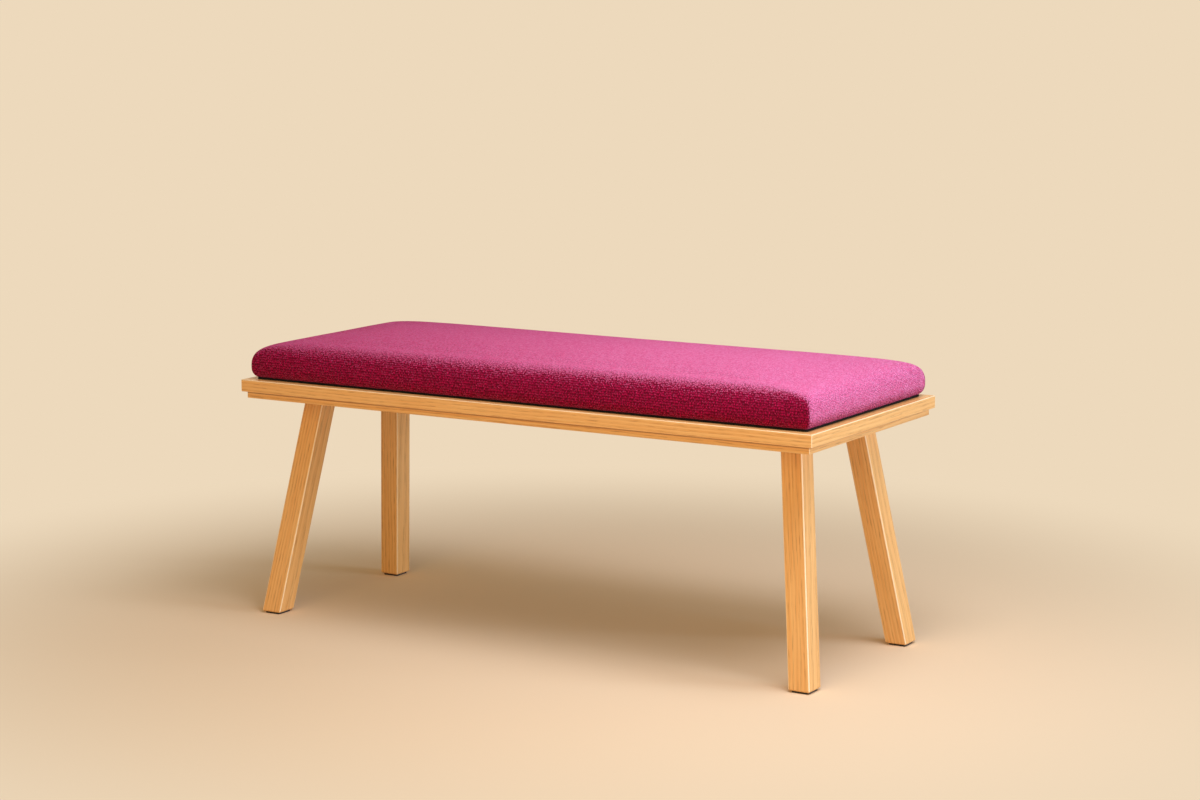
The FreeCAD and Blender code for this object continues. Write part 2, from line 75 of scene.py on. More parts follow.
def add(tree, kind, links=None, **settings):
    """Add a node with its settings; links gives its inputs, each a value or a socket to join."""
    made = tree.nodes.new(kind)
    for name, value in settings.items():
        setattr(made, name, value)
    for key, value in (links or {}).items():
        if isinstance(value, bpy.types.NodeSocket):
            tree.links.new(value, made.inputs[key])
        else:
            made.inputs[key].default_value = value
    return made


def new_material(name):
    """A material with a bare node tree, and that tree."""
    material = bpy.data.materials.new(name)
    material.use_nodes = True
    material.node_tree.nodes.clear()
    return material, material.node_tree


def new_mesh(name, points, faces):
    """An object at the origin, with its place in its mesh."""
    mesh = bpy.data.meshes.new(name)
    mesh.from_pydata([tuple(p) for p in points], [], faces)
    mesh.update()
    made = bpy.data.objects.new(name, mesh)
    bpy.context.scene.collection.objects.link(made)
    return made


def area_light(name, place, target, width, height, power, colour):
    """A soft lamp in watts that faces a target and isn't seen by the camera."""
    light = bpy.data.lights.new(name, "AREA")
    light.shape = "RECTANGLE"
    light.size = width
    light.size_y = height
    light.energy = power
    light.color = srgb(colour)[:3]
    lamp = bpy.data.objects.new(name, light)
    lamp.location = place
    aim = Vector(target) - Vector(place)
    lamp.rotation_euler = aim.to_track_quat("-Z", "Y").to_euler()
    lamp.visible_camera = False
    bpy.context.scene.collection.objects.link(lamp)


# The floor near the bench takes its shadow. Further off, what looks at it sees the backdrop.
material, tree = new_material("pale_floor")
place = add(tree, "ShaderNodeTexCoord")
away = add(tree, "ShaderNodeVectorMath", {0: place.outputs["Object"]}, operation="LENGTH")
fade = add(tree, "ShaderNodeMapRange", {"Value": away.outputs["Value"], "From Min": FADE_FROM,
                                        "From Max": FADE_TO}, interpolation_type="SMOOTHSTEP")
ray = add(tree, "ShaderNodeLightPath")
seen = add(tree, "ShaderNodeMath", {0: ray.outputs["Is Camera Ray"],
                                    1: ray.outputs["Is Glossy Ray"]}, operation="MAXIMUM")
blend = add(tree, "ShaderNodeMath", {0: fade.outputs[0], 1: seen.outputs[0]},
            operation="MULTIPLY")
painted = add(tree, "ShaderNodeBsdfDiffuse", {"Color": srgb(FLOOR_COLOUR)})
distant = add(tree, "ShaderNodeEmission", {"Color": srgb(BACKDROP_COLOUR), "Strength": 1})
mixed = add(tree, "ShaderNodeMixShader", {0: blend.outputs[0], 1: painted.outputs[0],
                                          2: distant.outputs[0]})
add(tree, "ShaderNodeOutputMaterial", {"Surface": mixed.outputs[0]})
floor_corners = [(x * FLOOR_REACH, y * FLOOR_REACH, 0)
                 for x, y in ((-1, -1), (1, -1), (1, 1), (-1, 1))]
floor = new_mesh("floor", floor_corners, [(0, 1, 2, 3)])
floor.data.materials.append(material)

world = bpy.data.worlds.new("studio")
bpy.context.scene.world = world
world.use_nodes = True
tree = world.node_tree
tree.nodes.clear()
ray = add(tree, "ShaderNodeLightPath")
seen = add(tree, "ShaderNodeMath", {0: ray.outputs["Is Camera Ray"],
                                    1: ray.outputs["Is Glossy Ray"]}, operation="MAXIMUM")
ambient = add(tree, "ShaderNodeBackground", {"Color": srgb(AMBIENT_COLOUR), "Strength": AMBIENT})
backdrop = add(tree, "ShaderNodeBackground", {"Color": srgb(BACKDROP_COLOUR), "Strength": 1})
mixed = add(tree, "ShaderNodeMixShader", {0: seen.outputs[0], 1: ambient.outputs[0],
                                          2: backdrop.outputs[0]})
add(tree, "ShaderNodeOutputWorld", {"Surface": mixed.outputs[0]})
area_light("window", (5, 0.8, 1), (0, 0, 0.3), 2.0, 1.6, 128, "#D2E9FF")
area_light("overhead", (0.8, -0.42, 1.7), (0.25, 0, 0.4), 1.0, 1.0, 22, "#F4F3FF")
area_light("front_fill", (0.9, -3.4, 1.4), (0, 0, 0.3), 2.5, 2.0, 41, "#FFDA9C")


# Rails: eight mitred boards in two stepped layers, of ash that was planed, sanded and oiled.
# The lower layer is screwed up into the upper one, stepped in under it. Ash gives straight pale
# grain, with a thin darker line where each spring's pores open.
LOG_RADIUS = 0.11  # from the heart of the log to the board
RING_WIDTH = 0.0054  # one year's growth is 3 mm: drawn wider, to show
RING_WANDER = 0.022  # how far a ring strays from its circle
WANDER_SCALE = (2.2, 11, 11)  # along the grain and across it, in features per metre
OPEN, CLOSING, CLOSED = 0.18, 0.2, 0.85  # when in each year the pores are
FIBRES = (7, 520, 520)  # streaks about 1.9 mm wide and 14 cm long
PORES = (40, 900, 900)  # dashes about 1.1 mm wide and 25 mm long, coarser than life
RING_SHARE, PORE_SHARE = 0.24, 0.5  # how far each takes its own colour
# Painted highlight: the pale colour along the upper rounded edges, and how far it goes.
EDGE_HIGHLIGHT, EDGE_HIGHLIGHT_SHARE = "#FFEBC8", 0.8
# Painted shade: a brown line on each lower rail just below its joint, under the upper board.
JOINT_SHADE, JOINT_SHADE_SHARE = "#7A4418", 0.55
JOINT_FADE, JOINT_DEPTH = 0.0038, 0.002  # below the joint: where its line starts, and is full
ALONG_X = Matrix.Identity(3)
ALONG_Y = Matrix.Rotation(math.radians(-90), 3, "Z")
ALONG_Z = Matrix.Rotation(math.radians(90), 3, "Y")
cuts = iter(range(1, 50))


def wood(name, lay, pale, middle, spring, pore, roughness=0.42, joint=1):
    """Wood whose grain runs along X once lay has turned it. Each call cuts another board.

    Just below the height of a joint a brown line of painted shade runs along the corner, where
    the board above overhangs it. A board without one has its joint far above it.
    """
    material, tree = new_material(name)
    cut = next(cuts)
    # Growth rings: the distance from the heart, in years. The pores open early in each year,
    # and each board comes from another place in the log.
    place = add(tree, "ShaderNodeTexCoord")
    lying = add(tree, "ShaderNodeMapping", {
        "Vector": place.outputs["Object"], "Rotation": lay.to_euler(),
        "Location": (0.71 * cut, 0.017 * (cut % 7) - 0.05, LOG_RADIUS + 0.009 * (cut % 3))})
    slow = add(tree, "ShaderNodeMapping", {"Vector": lying.outputs[0], "Scale": WANDER_SCALE})
    wander = add(tree, "ShaderNodeTexNoise", {"Vector": slow.outputs[0], "Scale": 1, "Detail": 2})
    across = add(tree, "ShaderNodeMapping", {"Vector": lying.outputs[0], "Scale": (0, 1, 1)})
    radius = add(tree, "ShaderNodeVectorMath", {0: across.outputs[0]}, operation="LENGTH")
    grown = add(tree, "ShaderNodeMath", {0: wander.outputs[0], 1: RING_WANDER,
                                         2: radius.outputs["Value"]}, operation="MULTIPLY_ADD")
    years = add(tree, "ShaderNodeMath", {0: grown.outputs[0], 1: RING_WIDTH}, operation="DIVIDE")
    season = add(tree, "ShaderNodeMath", {0: years.outputs[0]}, operation="FRACT")
    rise = add(tree, "ShaderNodeMapRange", {"Value": season.outputs[0], "From Min": 0,
                                            "From Max": OPEN}, interpolation_type="SMOOTHSTEP")
    fall = add(tree, "ShaderNodeMapRange", {"Value": season.outputs[0], "From Min": CLOSING,
                                            "From Max": CLOSED, "To Min": 1, "To Max": 0},
               interpolation_type="SMOOTHSTEP")
    early = add(tree, "ShaderNodeMath", {0: rise.outputs[0], 1: fall.outputs[0]},
                operation="MULTIPLY")
    # Fibres as long streaks, and pores as short dashes within the early part of each ring.
    fine = add(tree, "ShaderNodeMapping", {"Vector": lying.outputs[0], "Scale": FIBRES})
    fibres = add(tree, "ShaderNodeTexNoise", {"Vector": fine.outputs[0], "Scale": 1, "Detail": 3,
                                              "Roughness": 0.6})
    streaks = add(tree, "ShaderNodeMapRange", {"Value": fibres.outputs[0], "From Min": 0.3,
                                               "From Max": 0.7})
    short = add(tree, "ShaderNodeMapping", {"Vector": lying.outputs[0], "Scale": PORES})
    dashes = add(tree, "ShaderNodeTexNoise", {"Vector": short.outputs[0], "Scale": 1, "Detail": 1})
    opened = add(tree, "ShaderNodeMapRange", {"Value": dashes.outputs[0], "From Min": 0.5,
                                              "From Max": 0.64}, interpolation_type="SMOOTHSTEP")
    pores = add(tree, "ShaderNodeMath", {0: opened.outputs[0], 1: early.outputs[0]},
                operation="MULTIPLY")
    body = add(tree, "ShaderNodeMix", {0: streaks.outputs[0], 6: srgb(middle), 7: srgb(pale)},
               data_type="RGBA")
    ring_share = add(tree, "ShaderNodeMath", {0: early.outputs[0], 1: RING_SHARE},
                     operation="MULTIPLY")
    ringed = add(tree, "ShaderNodeMix", {0: ring_share.outputs[0], 6: body.outputs[2],
                                         7: srgb(spring)}, data_type="RGBA")
    pore_share = add(tree, "ShaderNodeMath", {0: pores.outputs[0], 1: PORE_SHARE},
                     operation="MULTIPLY")
    colour = add(tree, "ShaderNodeMix", {0: pore_share.outputs[0], 6: ringed.outputs[2],
                                         7: srgb(pore)}, data_type="RGBA")
    # A painted highlight along the upper rounded edges, as a pale line: only there does the
    # surface face between two of the board's own directions, and edges that face down are left
    # out.
    facing = add(tree, "ShaderNodeMapping", {"Vector": place.outputs["Normal"],
                                             "Rotation": lay.to_euler()}, vector_type="VECTOR")
    sides = add(tree, "ShaderNodeVectorMath", {0: facing.outputs[0]}, operation="ABSOLUTE")
    slant = add(tree, "ShaderNodeVectorMath", {0: sides.outputs[0], 1: (1, 1, 1)},
                operation="DOT_PRODUCT")
    edge = add(tree, "ShaderNodeMapRange", {"Value": slant.outputs["Value"], "From Min": 1.05,
                                            "From Max": 1.3, "To Max": EDGE_HIGHLIGHT_SHARE},
               interpolation_type="SMOOTHSTEP")
    tilt = add(tree, "ShaderNodeSeparateXYZ", {0: place.outputs["Normal"]})
    upper = add(tree, "ShaderNodeMapRange", {"Value": tilt.outputs[2], "From Min": -0.3,
                                             "From Max": -0.2})
    painted_edge_highlight = add(tree, "ShaderNodeMath", {0: edge.outputs[0], 1: upper.outputs[0]},
               operation="MULTIPLY")
    edge_highlighted = add(tree, "ShaderNodeMix", {0: painted_edge_highlight.outputs[0], 6: colour.outputs[2],
                                        7: srgb(EDGE_HIGHLIGHT)}, data_type="RGBA")
    # Painted shade under the joint: a brown line on the lower rails, just below the upper board.
    height = add(tree, "ShaderNodeSeparateXYZ", {0: place.outputs["Object"]})
    corner = add(tree, "ShaderNodeMapRange", {
        "Value": height.outputs[2], "From Min": joint - JOINT_FADE,
        "From Max": joint - JOINT_DEPTH, "To Max": JOINT_SHADE_SHARE}, interpolation_type="SMOOTHSTEP")
    joint_shaded = add(tree, "ShaderNodeMix", {0: corner.outputs[0], 6: edge_highlighted.outputs[2],
                                        7: srgb(JOINT_SHADE)}, data_type="RGBA")
    # The finish: oil lies thinner over the darker streaks, and the pores stay open under it.
    relief = add(tree, "ShaderNodeMath", {0: pores.outputs[0], 1: -0.7, 2: streaks.outputs[0]},
                 operation="MULTIPLY_ADD")
    bump = add(tree, "ShaderNodeBump", {"Height": relief.outputs[0], "Strength": 0.35,
                                        "Distance": 0.00025})
    gloss = add(tree, "ShaderNodeMapRange", {
        "Value": streaks.outputs[0], "To Min": roughness + 0.08, "To Max": roughness - 0.05})
    oiled = add(tree, "ShaderNodeBsdfPrincipled", {
        "Base Color": joint_shaded.outputs[2], "Roughness": gloss.outputs[0], "IOR": 1.48,
        "Coat Weight": 0.3, "Coat Roughness": 0.22, "Normal": bump.outputs[0]})
    add(tree, "ShaderNodeOutputMaterial", {"Surface": oiled.outputs[0]})
    return material


def finish_node(name, material):
    """Give a CAD node one material, in place of all of its own."""
    mesh = nodes[name].data
    mesh.materials.clear()
    mesh.materials.append(material)


ASH = {"pale": "#F5C784", "middle": "#E8AB62", "spring": "#CE9046", "pore": "#A06830"}
GRAIN = {"front": ALONG_X, "back": ALONG_X, "left": ALONG_Y, "right": ALONG_Y}
for side, lay in GRAIN.items():
    finish_node(f"upper_rail_{side}", wood(f"ash_upper_rail_{side}", lay, **ASH))
    name = f"lower_rail_{side}"
    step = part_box(name)[1].z
    finish_node(name, wood(f"ash_{name}", lay, joint=step, **ASH))


# Legs: four square posts of the same ash, set at a compound splay, sanded at the edges, with a
# painted highlight along the upper ones. Each goes up through its bearer with a round tenon.
# The grain runs down each leg.
END_SPLAY, SIDE_SPLAY = math.radians(8), math.radians(10)
for side, back in (("front", -1), ("back", 1)):
    for end, right in (("left", -1), ("right", 1)):
        lean = (Matrix.Rotation(-right * END_SPLAY, 3, "Y")
                @ Matrix.Rotation(back * SIDE_SPLAY, 3, "X"))
        name = f"leg_{side}_{end}"
        finish_node(name, wood(f"ash_{name}", ALONG_Z @ lean.inverted(), **ASH))


# Cross pieces under the seat: two bearers and a centre rail of beech, with beech dowels and
# wedges. Beech is pinker and plainer than ash; nobody sees it, so it is only planed.
BEECH = {"pale": "#E8BE93", "middle": "#DDAE80", "spring": "#CC976A", "pore": "#A9744A",
         "roughness": 0.55}
for name in ("leg_bearer_left", "leg_bearer_right", "centre_rail"):
    finish_node(name, wood(f"beech_{name}", ALONG_Y, **BEECH))
finish_node("bearer_dowels", wood("beech_dowels", ALONG_Y, **BEECH))
finish_node("leg_wedges", wood("beech_wedges", ALONG_Z, **BEECH))


# Foot pads: squares of black felt, 3 mm thick, glued under the feet. Felt is matted wool, so it
# looks dull, with fine hairs that go every way.
HAIRS = 900  # per metre
material, tree = new_material("black_felt")
place = add(tree, "ShaderNodeTexCoord")
hairs = add(tree, "ShaderNodeTexNoise", {"Vector": place.outputs["Object"], "Scale": HAIRS,
                                         "Detail": 4, "Roughness": 0.7})
shade = add(tree, "ShaderNodeMix", {0: hairs.outputs[0], 6: srgb("#17171A"), 7: srgb("#3A393C")},
            data_type="RGBA")
bump = add(tree, "ShaderNodeBump", {"Height": hairs.outputs[0], "Strength": 0.6,
                                    "Distance": 0.0006})
felt = add(tree, "ShaderNodeBsdfPrincipled", {
    "Base Color": shade.outputs[2], "Roughness": 0.95, "Sheen Weight": 0.25,
    "Normal": bump.outputs[0]})
add(tree, "ShaderNodeOutputMaterial", {"Surface": felt.outputs[0]})
for side in ("front", "back"):
    for end in ("left", "right"):
        finish_node(f"foot_pad_{side}_{end}", material)


# Steel fixings: countersunk screws in the rails, socket bolts with washers and tee nuts that
# clamp the seat down, and staples. All are zinc plated, a little dull and blotchy.
def zinc(name, light, dark, roughness):
    """Steel under a thin coat of zinc, in blotches about 4 mm across."""
    material, tree = new_material(name)
    place = add(tree, "ShaderNodeTexCoord")
    blotches = add(tree, "ShaderNodeTexNoise", {"Vector": place.outputs["Object"], "Scale": 260,
                                                "Detail": 4, "Roughness": 0.65})
    colour = add(tree, "ShaderNodeMix", {0: blotches.outputs[0], 6: srgb(dark), 7: srgb(light)},
                 data_type="RGBA")
    dullness = add(tree, "ShaderNodeMapRange", {"Value": blotches.outputs[0], "From Min": 0.3,
                                                "From Max": 0.7, "To Min": roughness - 0.08,
                                                "To Max": roughness + 0.12})
    plated = add(tree, "ShaderNodeBsdfPrincipled", {
        "Base Color": colour.outputs[2], "Metallic": 1, "Roughness": dullness.outputs[0]})
    add(tree, "ShaderNodeOutputMaterial", {"Surface": plated.outputs[0]})
    return material


zinc_plate = zinc("zinc_plated_steel", "#D5D8DC", "#A9ADB3", 0.34)
for name in ("frame_screws", "seat_bolts", "seat_washers", "tee_nuts"):
    finish_node(name, zinc_plate)
staple_wire = zinc("galvanised_staple_wire", "#C4C7CB", "#93979D", 0.42)
for name in ("cover_staples", "dust_cover_staples"):
    finish_node(name, staple_wire)


# Seat board and corner splines: birch plywood, sawn and unfinished. The cushion hides the board,
# and the splines are glued across the upper mitres.
BIRCH = {"pale": "#EED6AC", "middle": "#E5C796", "spring": "#D9B67F", "pore": "#B98E58",
         "roughness": 0.6}
finish_node("seat_board", wood("birch_plywood", ALONG_X, **BIRCH))
finish_node("mitre_splines", wood("birch_plywood_splines", ALONG_X, **BIRCH))


# Underside cloth: black spunbonded cloth, stapled under the board. Its near-black edge is the
# black line between the cushion and the ledge: partly the cloth itself and partly painted shade
# for the shadow gap under the cushion's foot. It is dull, with a small dimple at each bond.
BONDS = 700  # per metre: 1.4 mm apart
material, tree = new_material("black_spunbond")
place = add(tree, "ShaderNodeTexCoord")
bonds = add(tree, "ShaderNodeTexVoronoi", {"Vector": place.outputs["Object"], "Scale": BONDS})
dimples = add(tree, "ShaderNodeMapRange", {"Value": bonds.outputs["Distance"], "From Min": 0.15,
                                           "From Max": 0.5}, interpolation_type="SMOOTHSTEP")
shade = add(tree, "ShaderNodeMix", {0: dimples.outputs[0], 6: srgb("#060607"), 7: srgb("#141416")},
            data_type="RGBA")
bump = add(tree, "ShaderNodeBump", {"Height": dimples.outputs[0], "Strength": 0.5,
                                    "Distance": 0.0002})
cloth = add(tree, "ShaderNodeBsdfPrincipled", {
    "Base Color": shade.outputs[2], "Roughness": 0.85, "Specular IOR Level": 0.2,
    "Normal": bump.outputs[0]})
add(tree, "ShaderNodeOutputMaterial", {"Surface": cloth.outputs[0]})
finish_node("dust_cover", material)


# Cushion: a foam block wrapped in wadding, with one piece of woven wool pulled over it, folded
# at each corner and stapled under the board. It starts a little small and is blown up as cloth,
# which rounds its shoulder and low crown as the filling does.
low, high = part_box("seat_cover")
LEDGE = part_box("upper_rail_front")[1].z
HALF_LENGTH, HALF_DEPTH = high.x, high.y
FOOT, CROWN = low.z, high.z
SWELL = 0.0035  # how much lower the cushion's crown starts
WIDEST = LEDGE + 0.017  # height of its widest line
FOOT_RUN = 0.006  # drawn in from the widest line to the foot
SHOULDER_RUN, SHOULDER_RISE = 0.055, 0.0445
FULLNESS = 3.4  # of the shoulder: 2 would be an ellipse, more is boxier
TOP_EDGE = 0.030  # drawn in as far as the edge of the top's grid
TURN_IN = 0.032  # the cloth under the board
CORNER, CORNER_GROWTH = 0.004, 1.15  # radius at the foot, and its growth with the draw-in
CRISP = 0.0035  # the corners stay crisp up to this draw-in
CELL = 0.007  # of the cloth's grid
CROWN_STEPS, FOOT_STEPS = 60, 8
RIDGE = HALF_LENGTH - HALF_DEPTH  # half of the crown's ridge


def cushion_profile():
    """Steps from the ridge of the crown to the turned in edge: draw-in, height, corner radius."""
    crown_run = HALF_DEPTH - SHOULDER_RUN
    crown_rise = CROWN - WIDEST - SHOULDER_RISE
    steps = []
    for step in range(CROWN_STEPS):
        share = 1 - step / CROWN_STEPS
        steps.append((SHOULDER_RUN + share * crown_run,
                      WIDEST + SHOULDER_RISE + crown_rise * (1 - (1 - share) ** 2)))
    for degrees in range(90, 0, -1):
        turned = math.radians(degrees)
        steps.append((SHOULDER_RUN * (1 - math.cos(turned) ** (2 / FULLNESS)),
                      WIDEST + SHOULDER_RISE * math.sin(turned) ** (2 / FULLNESS)))
    profile = [(inset, z, CORNER + CORNER_GROWTH * max(0, inset - CRISP)) for inset, z in steps]
    for step in range(FOOT_STEPS + 1):
        share = step / FOOT_STEPS
        profile.append((FOOT_RUN * share ** 2, WIDEST - (WIDEST - FOOT) * share, CORNER))
    profile.append((FOOT_RUN + TURN_IN, FOOT, CORNER))
    return profile


profile = cushion_profile()
lengths = [0]
for before, after in zip(profile, profile[1:]):
    lengths.append(lengths[-1] + math.dist(before[:2], after[:2]))


def level(girth):
    """Draw-in, height and corner radius at a distance along the cloth from the ridge."""
    for number in range(len(lengths) - 1):
        if girth <= lengths[number + 1]:
            share = (girth - lengths[number]) / (lengths[number + 1] - lengths[number])
            return [a + (b - a) * share for a, b in zip(profile[number], profile[number + 1])]
    return list(profile[-1])


shoulder_edge = next(along for along, (inset, z, radius) in zip(lengths, profile)
                     if inset < TOP_EDGE)
foot_edge = lengths[-2]
rings_in = round(shoulder_edge / CELL)
rings_down = round((foot_edge - shoulder_edge) / CELL)
rings_under = round(TURN_IN / CELL)
cells_across = 2 * rings_in
cells_along = cells_across + round(2 * RIDGE / CELL)
ring_girths = [shoulder_edge + (foot_edge - shoulder_edge) * ring / rings_down
               for ring in range(1, rings_down + 1)]
ring_girths += [foot_edge + TURN_IN * ring / rings_under for ring in range(1, rings_under + 1)]
FOLD_WIDTH = 0.0016  # the folded edge of cloth beside each corner, at the foot
ROUNDEST = 0.98  # of the shorter half side: the most that a corner is rounded
CORNER_ALLOWANCE = 0.01  # what the two corners take off the length, for the width of a cell


def on_side(share, half, out, radius, narrow):
    """A point of a rounded rectangle's side: distance along from its middle, and out from it.

    The side runs from the middle of one corner to the middle of the next, and narrow moves
    the last point but one up to the corner.
    """
    radius = min(radius, ROUNDEST * half, ROUNDEST * out)
    reach = half - radius + radius * math.pi / 4
    along = (2 * share - 1) * reach
    if narrow is not None:
        along = math.copysign(reach - narrow, along)
    over = abs(along) - (half - radius)
    if over <= 0 or radius <= 0:
        return along, out
    turned = over / radius
    return (math.copysign(half - radius + radius * math.sin(turned), along),
            out - radius + radius * math.cos(turned))


def cushion_point(side, share, girth, narrow=None):
    """A point of the cloth: its side, its share along that side, and its distance down."""
    inset, z, radius = level(girth)
    half_length = HALF_LENGTH - inset
    half_depth = max(HALF_DEPTH - inset, 0)
    z = max(z - SWELL * max(0, (z - FOOT) / (CROWN - FOOT)), FOOT)
    if side in ("front", "back"):
        along, out = on_side(share, half_length, half_depth, radius, narrow)
        return along, out if side == "back" else -out, z
    along, out = on_side(share, half_depth, half_length, radius, narrow)
    return out if side == "right" else -out, along, z


# The top is one grid, and each ring of cells further down runs round all four sides.
points = []
girths = []
index = {}
for i in range(cells_along + 1):
    for j in range(cells_across + 1):
        ring = min(i, cells_along - i, j, cells_across - j)
        girth = shoulder_edge * (1 - ring / rings_in)
        if j in (ring, cells_across - ring):
            side = "front" if j == ring else "back"
            share = (i - ring) / (cells_along - 2 * ring)
        else:
            side = "left" if i == ring else "right"
            share = (j - ring) / (cells_across - 2 * ring)
        index[i, j] = len(points)
        points.append(cushion_point(side, share, girth))
        girths.append(girth)

loop = ([(i, 0) for i in range(cells_along)]
        + [(cells_along, j) for j in range(cells_across)]
        + [(i, cells_across) for i in range(cells_along, 0, -1)]
        + [(0, j) for j in range(cells_across, 0, -1)])
turns = (0, cells_along, cells_along + cells_across, 2 * cells_along + cells_across)
cell = 2 * (HALF_LENGTH - CORNER_ALLOWANCE) / cells_along
rings = [[index[spot] for spot in loop]]
for number, girth in enumerate(ring_girths):
    ring = []
    down = min(1, (number + 1) / rings_down)
    for i, j in loop:
        if j in (0, cells_across):
            side, share = ("front" if j == 0 else "back"), i / cells_along
            near = i in (1, cells_along - 1)
        else:
            side, share = ("left" if i == 0 else "right"), j / cells_across
            near = False
        narrow = cell + (FOLD_WIDTH - cell) * down if near else None
        ring.append(len(points))
        points.append(cushion_point(side, share, girth, narrow))
        girths.append(girth)
    rings.append(ring)

faces = []
sectors = []
for i in range(cells_along):
    for j in range(cells_across):
        faces.append((index[i, j], index[i + 1, j], index[i + 1, j + 1], index[i, j + 1]))
        to_end = min(i, cells_along - 1 - i)
        to_side = min(j, cells_across - 1 - j)
        sectors.append("end" if to_end < to_side else "long")
size = len(loop)
for above, below in zip(rings, rings[1:]):
    for number in range(size):
        after = (number + 1) % size
        faces.append((above[number], below[number], below[after], above[after]))
        on_end = turns[1] <= number < turns[2] or number >= turns[3]
        sectors.append("end" if on_end else "long")
inner = rings[-1]
for number in range(cells_along):
    opposite = turns[3] - number
    faces.append((inner[number], inner[opposite % size], inner[opposite - 1], inner[number + 1]))
    sectors.append("long")
for start, stop in ((turns[1], turns[2]), (turns[3], size)):
    faces.append([inner[number % size] for number in range(stop, start - 1, -1)])
    sectors.append("end")
cushion = new_mesh("seat_cushion", points, faces)

# Blown up: the foot and the turned in cloth are held, and so are the folded corners. The rest
# swells as far as SWELL_CAP, and the filling lets the sides pull in no further than SINK_CAP.
SWELL_CAP, SINK_CAP = 0.0045, 0.0015
SWELL_FRAMES = 20
SPREAD_STEPS = 16
FOLD_TOP = LEDGE + 0.042  # a corner is folded up to this height
FOLD_FADE = 0.012
held = cushion.vertex_groups.new(name="held")
held.add(list(range(rings[rings_down][0], len(points))), 1, "REPLACE")
for ring in rings[:rings_down]:
    for column in turns:
        stiff = min(1, max(0, (FOLD_TOP - points[ring[column]][2]) / FOLD_FADE))
        held.add([ring[column]], stiff, "REPLACE")
cloth = cushion.modifiers.new("cloth", "CLOTH")
cloth.settings.quality = 6
cloth.settings.mass = 0.3
cloth.settings.tension_stiffness = 200
cloth.settings.compression_stiffness = 200
cloth.settings.shear_stiffness = 60
cloth.settings.bending_stiffness = 2
cloth.settings.use_pressure = True
cloth.settings.uniform_pressure_force = 0.8
cloth.settings.vertex_group_mass = "held"
cloth.settings.effector_weights.gravity = 0
cloth.collision_settings.use_collision = False
for number in range(1, SWELL_FRAMES + 1):
    bpy.context.scene.frame_set(number)
blown = bpy.data.meshes.new_from_object(
    cushion.evaluated_get(bpy.context.evaluated_depsgraph_get()))
outward = []
for vertex, swollen in zip(cushion.data.vertices, blown.vertices):
    move = (swollen.co - vertex.co).dot(vertex.normal)
    cap = SWELL_CAP if move > 0 else SINK_CAP
    outward.append(cap * math.tanh(move / cap))
beside = [[] for vertex in outward]
for edge in cushion.data.edges:
    first, second = edge.vertices
    beside[first].append(second)
    beside[second].append(first)
# The filling spreads the swelling evenly, so that no crease is left along the shoulder.
for number in range(SPREAD_STEPS):
    outward = [0.5 * move + 0.5 * sum(outward[near] for near in spots) / len(spots)
               for move, spots in zip(outward, beside)]
normals = [vertex.normal.copy() for vertex in cushion.data.vertices]
for vertex, normal, move in zip(cushion.data.vertices, normals, outward):
    vertex.co += normal * move
cushion.modifiers.remove(cloth)
cushion.vertex_groups.remove(held)
bpy.data.meshes.remove(blown)
bpy.context.scene.frame_set(1)

# The threads' own map, in metres along the cloth: it runs straight over the top and down each
# side, so it breaks only at the folded corners.
uv = cushion.data.uv_layers.new(name="threads")
for face, sector in zip(cushion.data.polygons, sectors):
    for corner in face.loop_indices:
        number = cushion.data.loops[corner].vertex_index
        x, y, z = points[number]
        spare = girths[number] - (HALF_DEPTH - level(girths[number])[0])
        if sector == "long":
            uv.data[corner].uv = (x, y + math.copysign(spare, y))
        else:
            uv.data[corner].uv = (x + math.copysign(spare, x), y)

# Corner folds: the cloth of each end laps 1 mm over the cloth of the front or back, with a
# sharp edge that softens upwards.
FOLD_DEPTH = 0.0011


def folded(z):
    """How deep the fold is at a height: 1 up to the widest line, and 0 at its top."""
    return min(1, max(0, (FOLD_TOP - z) / (FOLD_TOP - WIDEST)))


shape = bmesh.new()
shape.from_mesh(cushion.data)
shape.verts.ensure_lookup_table()
crease = shape.edges.layers.float.new("crease_edge")
for at, step, inward in zip(turns, (1, -1, 1, -1), (1, 1, -1, -1)):
    for above, below in zip(rings[:rings_down], rings[1:rings_down + 1]):
        for column, sharpness in ((at, 1), (at + step, 0.6)):
            edge = shape.edges.get((shape.verts[above[column]], shape.verts[below[column]]))
            edge[crease] = sharpness * math.sqrt(folded(edge.verts[0].co.z))
        lapped = shape.verts[below[at + step]]
        lapped.co.y += inward * FOLD_DEPTH * folded(lapped.co.z)
# Staples under the board draw the cloth in a little along its foot, one dimple at each.
PULL, PULL_PITCH = 0.0006, 0.035
PULL_TOP, PULL_FADE = WIDEST + 0.012, 0.02
for ring in rings[rings_down // 2:rings_down + 1]:
    for number in ring:
        vertex = shape.verts[number]
        depth = max(0, min(1, (PULL_TOP - vertex.co.z) / PULL_FADE))
        along = vertex.co.x if abs(vertex.normal.y) > abs(vertex.normal.x) else vertex.co.y
        dimple = 0.5 + 0.5 * math.cos(math.tau * along / PULL_PITCH)
        vertex.co -= vertex.normal * PULL * depth * dimple
shape.to_mesh(cushion.data)
shape.free()
subdivision = cushion.modifiers.new("subdivision", "SUBSURF")
subdivision.levels = subdivision.render_levels = 1
smooth = bpy.data.meshes.new_from_object(
    cushion.evaluated_get(bpy.context.evaluated_depsgraph_get()))
cushion.modifiers.remove(subdivision)
cushion.data = smooth
cushion.data.name = "seat_cushion"
smooth.shade_smooth()


